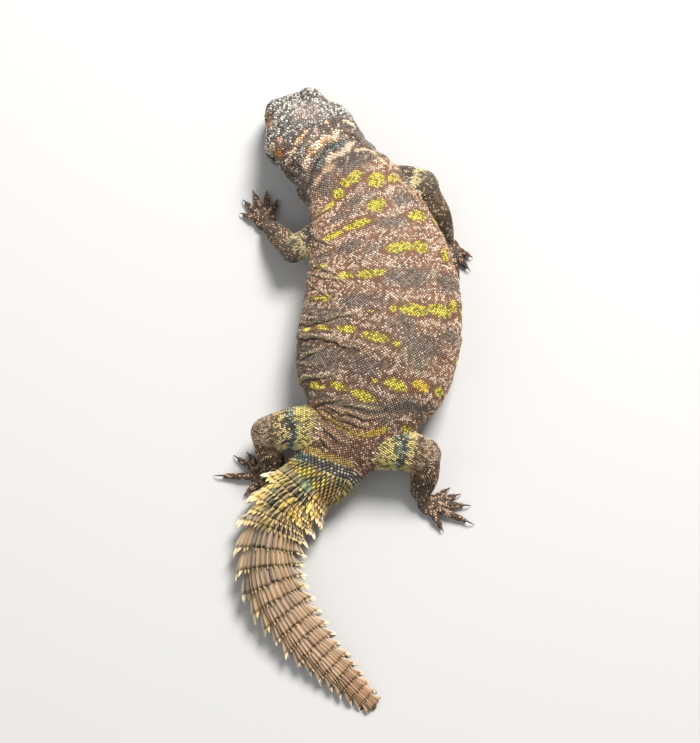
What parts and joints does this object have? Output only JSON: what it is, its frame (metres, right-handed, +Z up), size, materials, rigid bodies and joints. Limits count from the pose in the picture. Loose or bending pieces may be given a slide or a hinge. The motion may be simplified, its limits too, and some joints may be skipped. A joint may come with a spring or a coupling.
{
  "type": "uromastyx",
  "caption": "Life-size still model of a young spiny-tailed lizard resting on its belly, head turned and lowered, legs out to the sides and the spiny tail curved.",
  "frame": {"origin": "on the floor, under the middle of the whole animal's bounding box", "axes": "+Y towards the head, +X to the animal's right side, +Z up"},
  "size_m": [0.0606, 0.1453, 0.0208],
  "materials": {
    "head_skin": "matt, finely scaled",
    "eye": "wet gloss",
    "trunk_skin": "matt, finely scaled",
    "tail_skin": "matt, hard keeled scales",
    "limb_skin": "matt, scaled"
  },
  "bodies": {
    "root": {"head": "head_skin", "jaw": "head_skin", "eye_left": "eye", "eye_right": "eye", "neck": "trunk_skin", "torso": "trunk_skin", "hips": "trunk_skin", "tail_1": "tail_skin", "tail_2": "tail_skin", "tail_3": "tail_skin", "tail_4": "tail_skin", "upper_arm_left": "limb_skin", "forearm_left": "limb_skin", "hand_left": "limb_skin", "thigh_left": "limb_skin", "shank_left": "limb_skin", "foot_left": "limb_skin", "upper_arm_right": "limb_skin", "forearm_right": "limb_skin", "hand_right": "limb_skin", "thigh_right": "limb_skin", "shank_right": "limb_skin", "foot_right": "limb_skin"}
  },
  "joints": []
}
